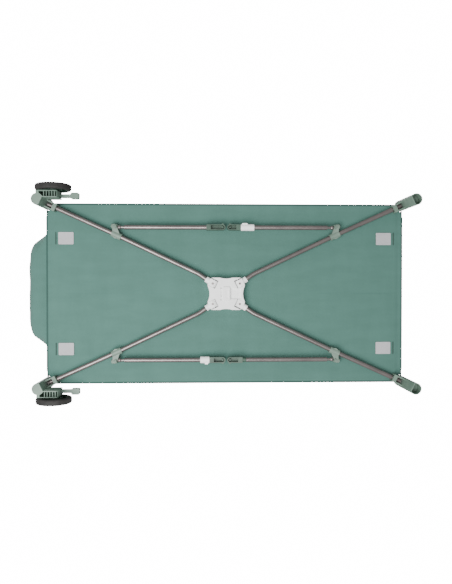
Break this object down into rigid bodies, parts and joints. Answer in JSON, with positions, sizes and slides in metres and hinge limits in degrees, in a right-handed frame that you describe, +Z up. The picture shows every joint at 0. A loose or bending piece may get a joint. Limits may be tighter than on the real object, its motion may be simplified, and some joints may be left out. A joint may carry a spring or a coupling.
{
  "type": "folding travel cot",
  "caption": "Folding travel cot with a lift-up hub, bent struts, latched top rails, net sides, an end pouch and two braked wheels.",
  "frame": {"origin": "on the ground, under the middle of the bounding box", "axes": "+X along the cot from the wheel end to the plain feet, +Y across it, +Z up"},
  "size_m": [1.313, 0.711, 0.768],
  "materials": {
    "steel_tube": "satin grey paint",
    "white_plastic": "smooth moulded",
    "sage_plastic": "fine moulded grain",
    "dark_plastic": "moulded",
    "green_fabric": "plain weave",
    "grip_tape": "looped",
    "tyre_rubber": "matt",
    "steel_pins": "turned"
  },
  "bodies": {
    "leg_front_left": {"leg_tube_front_left": "steel_tube", "top_corner_front_left": "sage_plastic", "wall_front_left": "green_fabric", "wheel_bracket_front": "sage_plastic", "end_pocket": "green_fabric"},
    "strut_front_left": {"strut_tube_front_left": "steel_tube", "hub_knuckle_front_left": "white_plastic"},
    "leg_front_right": {"leg_tube_front_right": "steel_tube", "top_corner_front_right": "sage_plastic", "wall_front_right": "green_fabric", "foot_front": "sage_plastic"},
    "strut_front_right": {"strut_tube_front_right": "steel_tube", "hub_knuckle_front_right": "white_plastic"},
    "leg_back_left": {"leg_tube_back_left": "steel_tube", "top_corner_back_left": "sage_plastic", "wall_back_left": "green_fabric", "wheel_bracket_back": "sage_plastic"},
    "strut_back_left": {"strut_tube_back_left": "steel_tube", "hub_knuckle_back_left": "white_plastic"},
    "leg_back_right": {"leg_tube_back_right": "steel_tube", "top_corner_back_right": "sage_plastic", "wall_back_right": "green_fabric", "foot_back": "sage_plastic"},
    "strut_back_right": {"strut_tube_back_right": "steel_tube", "hub_knuckle_back_right": "white_plastic"},
    "hub": {"hub_base": "white_plastic", "hub_cover": "white_plastic", "hub_block": "white_plastic", "hub_pins": "steel_pins", "lift_strap": "green_fabric", "floor_fabric": "green_fabric", "floor_patches": "grip_tape"},
    "rail_front_left": {"rail_front_left": "steel_tube"},
    "rail_left_front": {"rail_left_front": "steel_tube"},
    "rail_front_right": {"rail_front_right": "steel_tube"},
    "rail_right_front": {"rail_right_front": "steel_tube"},
    "rail_back_left": {"rail_back_left": "steel_tube"},
    "rail_left_back": {"rail_left_back": "steel_tube"},
    "rail_back_right": {"rail_back_right": "steel_tube"},
    "rail_right_back": {"rail_right_back": "steel_tube"},
    "latch_front": {"latch_front": "dark_plastic"},
    "latch_button_front": {"latch_button_front": "sage_plastic"},
    "latch_back": {"latch_back": "dark_plastic"},
    "latch_button_back": {"latch_button_back": "sage_plastic"},
    "latch_left": {"latch_left": "dark_plastic"},
    "latch_button_left": {"latch_button_left": "sage_plastic"},
    "latch_right": {"latch_right": "dark_plastic"},
    "latch_button_right": {"latch_button_right": "sage_plastic"},
    "bar_front_left": {"bar_front_left": "steel_tube"},
    "bar_front_right": {"bar_front_right": "steel_tube"},
    "bar_back_left": {"bar_back_left": "steel_tube"},
    "bar_back_right": {"bar_back_right": "steel_tube"},
    "bar_slider_front": {"bar_slider_front": "white_plastic"},
    "bar_slider_back": {"bar_slider_back": "white_plastic"},
    "wheel_front": {"wheel_rim_front": "dark_plastic", "tyre_front": "tyre_rubber"},
    "brake_pedal_front": {"brake_pedal_front": "sage_plastic"},
    "wheel_back": {"wheel_rim_back": "dark_plastic", "tyre_back": "tyre_rubber"},
    "brake_pedal_back": {"brake_pedal_back": "sage_plastic"}
  },
  "joints": [
    {"name": "fold", "type": "hinge", "parent": "leg_front_left", "child": "strut_front_left", "pos_m": [-0.55724, -0.29186, 0.104], "axis": [0.4336, -0.9011, 0], "range_deg": [0, 78], "deforming": ["wall_front_left", "wall_front_right", "wall_back_left", "wall_back_right", "floor_fabric", "floor_patches", "end_pocket"]},
    {"name": "hub_level", "type": "hinge", "parent": "strut_front_left", "child": "hub", "pos_m": [-0.0214, -0.034, 0.104], "axis": [0.4336, -0.9011, 0], "range_deg": [-78, 0]},
    {"name": "strut_front_right_swing", "type": "hinge", "parent": "hub", "child": "strut_front_right", "pos_m": [0.0686, -0.034, 0.104], "axis": [0.4336, 0.9011, 0], "range_deg": [0, 78]},
    {"name": "leg_front_right_upright", "type": "hinge", "parent": "strut_front_right", "child": "leg_front_right", "pos_m": [0.60444, -0.29186, 0.104], "axis": [0.4336, 0.9011, 0], "range_deg": [-78, 0]},
    {"name": "strut_back_left_swing", "type": "hinge", "parent": "hub", "child": "strut_back_left", "pos_m": [-0.0214, 0.034, 0.104], "axis": [-0.4336, -0.9011, 0], "range_deg": [0, 78]},
    {"name": "leg_back_left_upright", "type": "hinge", "parent": "strut_back_left", "child": "leg_back_left", "pos_m": [-0.55724, 0.29186, 0.104], "axis": [-0.4336, -0.9011, 0], "range_deg": [-78, 0]},
    {"name": "strut_back_right_swing", "type": "hinge", "parent": "hub", "child": "strut_back_right", "pos_m": [0.0686, 0.034, 0.104], "axis": [-0.4336, 0.9011, 0], "range_deg": [0, 78]},
    {"name": "leg_back_right_upright", "type": "hinge", "parent": "strut_back_right", "child": "leg_back_right", "pos_m": [0.60444, 0.29186, 0.104], "axis": [-0.4336, 0.9011, 0], "range_deg": [-78, 0]},
    {"name": "rail_front_left_drop", "type": "hinge", "parent": "leg_front_left", "child": "rail_front_left", "pos_m": [-0.54224, -0.317, 0.745], "axis": [0, 1, 0], "range_deg": [0, 78]},
    {"name": "rail_left_front_drop", "type": "hinge", "parent": "leg_front_left", "child": "rail_left_front", "pos_m": [-0.5944, -0.28786, 0.745], "axis": [-1, 0, 0], "range_deg": [0, 78]},
    {"name": "rail_front_right_drop", "type": "hinge", "parent": "leg_front_right", "child": "rail_front_right", "pos_m": [0.58944, -0.317, 0.745], "axis": [0, -1, 0], "range_deg": [0, 78]},
    {"name": "rail_right_front_drop", "type": "hinge", "parent": "leg_front_right", "child": "rail_right_front", "pos_m": [0.6416, -0.28786, 0.745], "axis": [-1, 0, 0], "range_deg": [0, 78]},
    {"name": "rail_back_left_drop", "type": "hinge", "parent": "leg_back_left", "child": "rail_back_left", "pos_m": [-0.54224, 0.317, 0.745], "axis": [0, 1, 0], "range_deg": [0, 78]},
    {"name": "rail_left_back_drop", "type": "hinge", "parent": "leg_back_left", "child": "rail_left_back", "pos_m": [-0.5944, 0.28786, 0.745], "axis": [1, 0, 0], "range_deg": [0, 78]},
    {"name": "rail_back_right_drop", "type": "hinge", "parent": "leg_back_right", "child": "rail_back_right", "pos_m": [0.58944, 0.317, 0.745], "axis": [0, -1, 0], "range_deg": [0, 78]},
    {"name": "rail_right_back_drop", "type": "hinge", "parent": "leg_back_right", "child": "rail_right_back", "pos_m": [0.6416, 0.28786, 0.745], "axis": [1, 0, 0], "range_deg": [0, 78]},
    {"name": "latch_front_level", "type": "hinge", "parent": "rail_front_left", "child": "latch_front", "pos_m": [-0.0064, -0.317, 0.745], "axis": [0, 1, 0], "range_deg": [-78, 0]},
    {"name": "latch_button_front_press", "type": "slide", "parent": "latch_front", "child": "latch_button_front", "axis": [0, 0, 1], "range_m": [0, 0.004], "stiffness_N_per_m": 600, "springref_m": -0.002},
    {"name": "latch_back_level", "type": "hinge", "parent": "rail_back_left", "child": "latch_back", "pos_m": [-0.0064, 0.317, 0.745], "axis": [0, 1, 0], "range_deg": [-78, 0]},
    {"name": "latch_button_back_press", "type": "slide", "parent": "latch_back", "child": "latch_button_back", "axis": [0, 0, 1], "range_m": [0, 0.004], "stiffness_N_per_m": 600, "springref_m": -0.002},
    {"name": "latch_left_level", "type": "hinge", "parent": "rail_left_front", "child": "latch_left", "pos_m": [-0.5944, -0.03, 0.745], "axis": [-1, 0, 0], "range_deg": [-78, 0]},
    {"name": "latch_button_left_press", "type": "slide", "parent": "latch_left", "child": "latch_button_left", "axis": [0, 0, 1], "range_m": [0, 0.004], "stiffness_N_per_m": 600, "springref_m": -0.002},
    {"name": "latch_right_level", "type": "hinge", "parent": "rail_right_front", "child": "latch_right", "pos_m": [0.6416, -0.03, 0.745], "axis": [-1, 0, 0], "range_deg": [-78, 0]},
    {"name": "latch_button_right_press", "type": "slide", "parent": "latch_right", "child": "latch_button_right", "axis": [0, 0, 1], "range_m": [0, 0.004], "stiffness_N_per_m": 600, "springref_m": -0.002},
    {"name": "bar_front_left_swing", "type": "hinge", "parent": "strut_front_left", "child": "bar_front_left", "pos_m": [-0.3294, -0.22, 0.096], "axis": [-0.9152, -0.1993, 0.3504], "range_deg": [0, 63.18]},
    {"name": "bar_front_right_swing", "type": "hinge", "parent": "strut_front_right", "child": "bar_front_right", "pos_m": [0.3766, -0.22, 0.096], "axis": [-0.9152, 0.1993, -0.3504], "range_deg": [0, 63.18]},
    {"name": "bar_back_left_swing", "type": "hinge", "parent": "strut_back_left", "child": "bar_back_left", "pos_m": [-0.3294, 0.22, 0.096], "axis": [0.9152, -0.1993, -0.3504], "range_deg": [0, 63.18]},
    {"name": "bar_back_right_swing", "type": "hinge", "parent": "strut_back_right", "child": "bar_back_right", "pos_m": [0.3766, 0.22, 0.096], "axis": [0.9152, 0.1993, 0.3504], "range_deg": [0, 63.18]},
    {"name": "bar_slider_front_slide", "type": "slide", "parent": "bar_front_right", "child": "bar_slider_front", "axis": [1, 0, 0], "range_m": [0, 0.01]},
    {"name": "bar_slider_back_slide", "type": "slide", "parent": "bar_back_left", "child": "bar_slider_back", "axis": [-1, 0, 0], "range_m": [0, 0.01]},
    {"name": "wheel_front_spin", "type": "hinge", "parent": "leg_front_left", "child": "wheel_front", "pos_m": [-0.5354, -0.343, 0.057], "axis": [0, 1, 0], "continuous": true},
    {"name": "brake_pedal_front_press", "type": "hinge", "parent": "leg_front_left", "child": "brake_pedal_front", "pos_m": [-0.5544, -0.32, 0.088], "axis": [0, 1, 0], "range_deg": [0, 14]},
    {"name": "wheel_back_spin", "type": "hinge", "parent": "leg_back_left", "child": "wheel_back", "pos_m": [-0.5354, 0.343, 0.057], "axis": [0, 1, 0], "continuous": true},
    {"name": "brake_pedal_back_press", "type": "hinge", "parent": "leg_back_left", "child": "brake_pedal_back", "pos_m": [-0.5544, 0.32, 0.088], "axis": [0, 1, 0], "range_deg": [0, 14]}
  ],
  "couplings": [
    {"joint": "hub_level", "follows": "fold", "ratio": -1},
    {"joint": "strut_front_right_swing", "follows": "fold", "ratio": 1},
    {"joint": "leg_front_right_upright", "follows": "fold", "ratio": -1},
    {"joint": "strut_back_left_swing", "follows": "fold", "ratio": 1},
    {"joint": "leg_back_left_upright", "follows": "fold", "ratio": -1},
    {"joint": "strut_back_right_swing", "follows": "fold", "ratio": 1},
    {"joint": "leg_back_right_upright", "follows": "fold", "ratio": -1},
    {"joint": "rail_front_left_drop", "follows": "fold", "ratio": 1},
    {"joint": "rail_left_front_drop", "follows": "fold", "ratio": 1},
    {"joint": "rail_front_right_drop", "follows": "fold", "ratio": 1},
    {"joint": "rail_right_front_drop", "follows": "fold", "ratio": 1},
    {"joint": "rail_back_left_drop", "follows": "fold", "ratio": 1},
    {"joint": "rail_left_back_drop", "follows": "fold", "ratio": 1},
    {"joint": "rail_back_right_drop", "follows": "fold", "ratio": 1},
    {"joint": "rail_right_back_drop", "follows": "fold", "ratio": 1},
    {"joint": "latch_front_level", "follows": "fold", "ratio": -1},
    {"joint": "latch_back_level", "follows": "fold", "ratio": -1},
    {"joint": "latch_left_level", "follows": "fold", "ratio": -1},
    {"joint": "latch_right_level", "follows": "fold", "ratio": -1},
    {"joint": "bar_front_left_swing", "follows": "fold", "ratio": 0.81},
    {"joint": "bar_front_right_swing", "follows": "fold", "ratio": 0.81},
    {"joint": "bar_back_left_swing", "follows": "fold", "ratio": 0.81},
    {"joint": "bar_back_right_swing", "follows": "fold", "ratio": 0.81}
  ]
}
